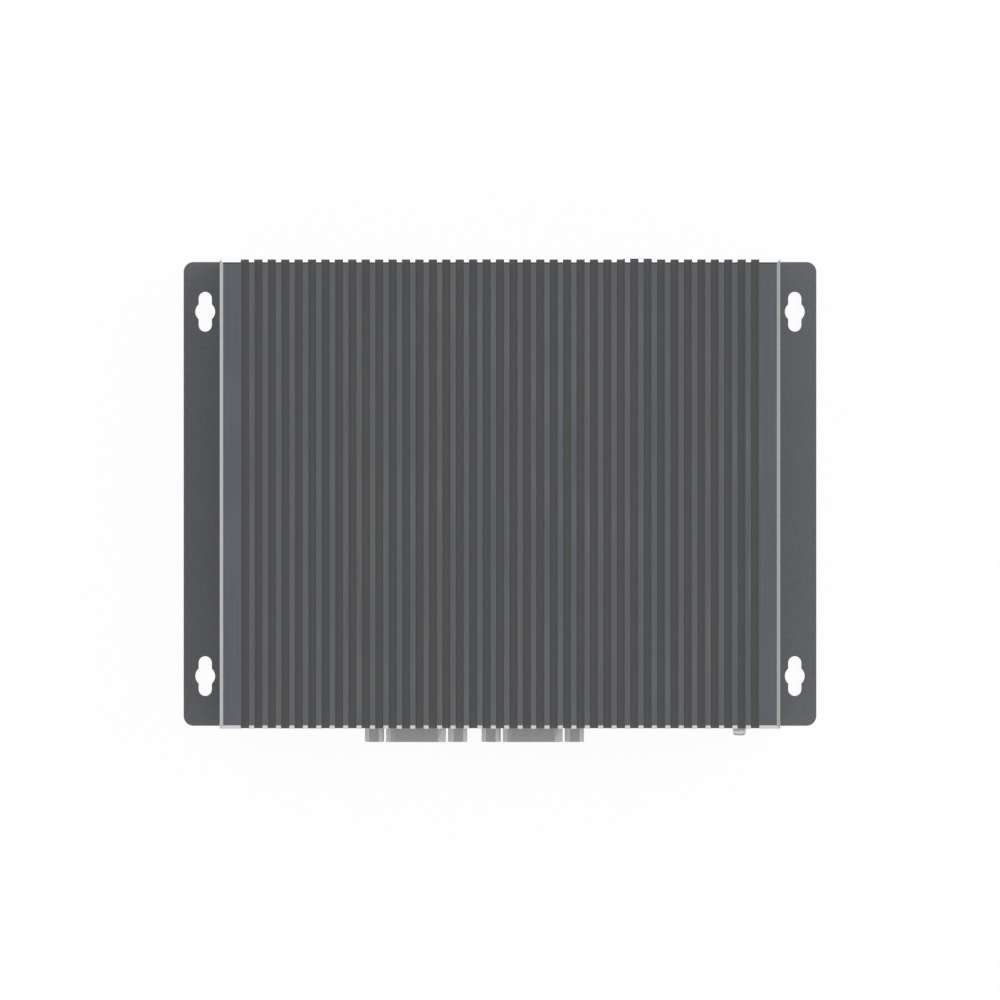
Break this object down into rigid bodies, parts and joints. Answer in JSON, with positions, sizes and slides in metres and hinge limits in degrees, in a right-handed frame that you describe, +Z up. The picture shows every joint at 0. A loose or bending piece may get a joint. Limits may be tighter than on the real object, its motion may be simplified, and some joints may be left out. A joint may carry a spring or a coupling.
{
  "type": "fanless edge ai computer",
  "caption": "Fanless edge AI computer: finned aluminium cover on a folded steel tray with keyhole flanges, serial, data, network and display sockets, power inlet and power button.",
  "frame": {"origin": "centre of the base's underside", "axes": "+X to the right along the long side, +Y from the serial ports to the rear wall, +Z up through the fins"},
  "size_m": [0.191, 0.1451, 0.05],
  "materials": {
    "tray_paint": "fine matte powder coat",
    "cover_anodised": "dark grey anodised, satin",
    "black_zinc_screw": "black plated",
    "board_laminate": "green solder mask",
    "module_laminate": "black solder mask",
    "bright_steel": "nickel plated",
    "plated_shell": "tin plated, satin",
    "plated_lid": "nickel plated, fine blast",
    "black_plastic": "moulded, matte",
    "chip_resin": "moulded resin",
    "soft_pad": "soft silicone",
    "bare_aluminium": "milled",
    "gold_contact": "gold plated",
    "clear_plastic": "clear, polished",
    "led_resin": "pale resin",
    "button_anodised": "dark anodised, satin"
  },
  "bodies": {
    "case": {"ai_processor": "plated_lid", "base_tray": "tray_paint", "battery_holder": "black_plastic", "board_screws": "bright_steel", "board_standoffs": "bright_steel", "carrier_board": "board_laminate", "clock_battery": "bright_steel", "cover_screws": "black_zinc_screw", "data_port_front_contacts": "gold_contact", "data_port_front_insulator": "black_plastic", "data_port_front_shell": "plated_shell", "data_port_rear_contacts": "gold_contact", "data_port_rear_insulator": "black_plastic", "data_port_rear_shell": "plated_shell", "display_socket_contacts": "gold_contact", "display_socket_insulator": "black_plastic", "display_socket_shell": "plated_shell", "heat_spreader": "bare_aluminium", "heatsink_cover": "cover_anodised", "light_pipe": "clear_plastic", "memory_chips": "chip_resin", "module_board": "module_laminate", "module_posts": "bright_steel", "module_screws": "bright_steel", "module_socket": "black_plastic", "network_jack_1_contacts": "gold_contact", "network_jack_1_insert": "black_plastic", "network_jack_1_lights": "clear_plastic", "network_jack_1_shell": "plated_shell", "network_jack_2_contacts": "gold_contact", "network_jack_2_insert": "black_plastic", "network_jack_2_lights": "clear_plastic", "network_jack_2_shell": "plated_shell", "panel_screws": "black_zinc_screw", "power_cans": "bare_aluminium", "power_coils": "chip_resin", "power_inlet_body": "black_plastic", "power_inlet_pin": "gold_contact", "power_switch": "black_plastic", "serial_port_1_contacts": "gold_contact", "serial_port_1_insulator": "black_plastic", "serial_port_1_jackscrews": "bright_steel", "serial_port_1_shell": "plated_shell", "serial_port_2_contacts": "gold_contact", "serial_port_2_insulator": "black_plastic", "serial_port_2_jackscrews": "bright_steel", "serial_port_2_shell": "plated_shell", "spreader_screws": "bright_steel", "status_led": "led_resin", "storage_card": "module_laminate", "storage_chips": "chip_resin", "storage_post": "bright_steel", "storage_screw": "bright_steel", "storage_socket": "black_plastic", "thermal_pad": "soft_pad"},
    "button": {"power_button": "button_anodised", "switch_plunger": "black_plastic"}
  },
  "joints": [
    {"name": "power_button_press", "type": "slide", "parent": "case", "child": "button", "axis": [0, -1, 0], "range_m": [0, 0.0005], "stiffness_N_per_m": 600, "springref_m": -0.002}
  ]
}
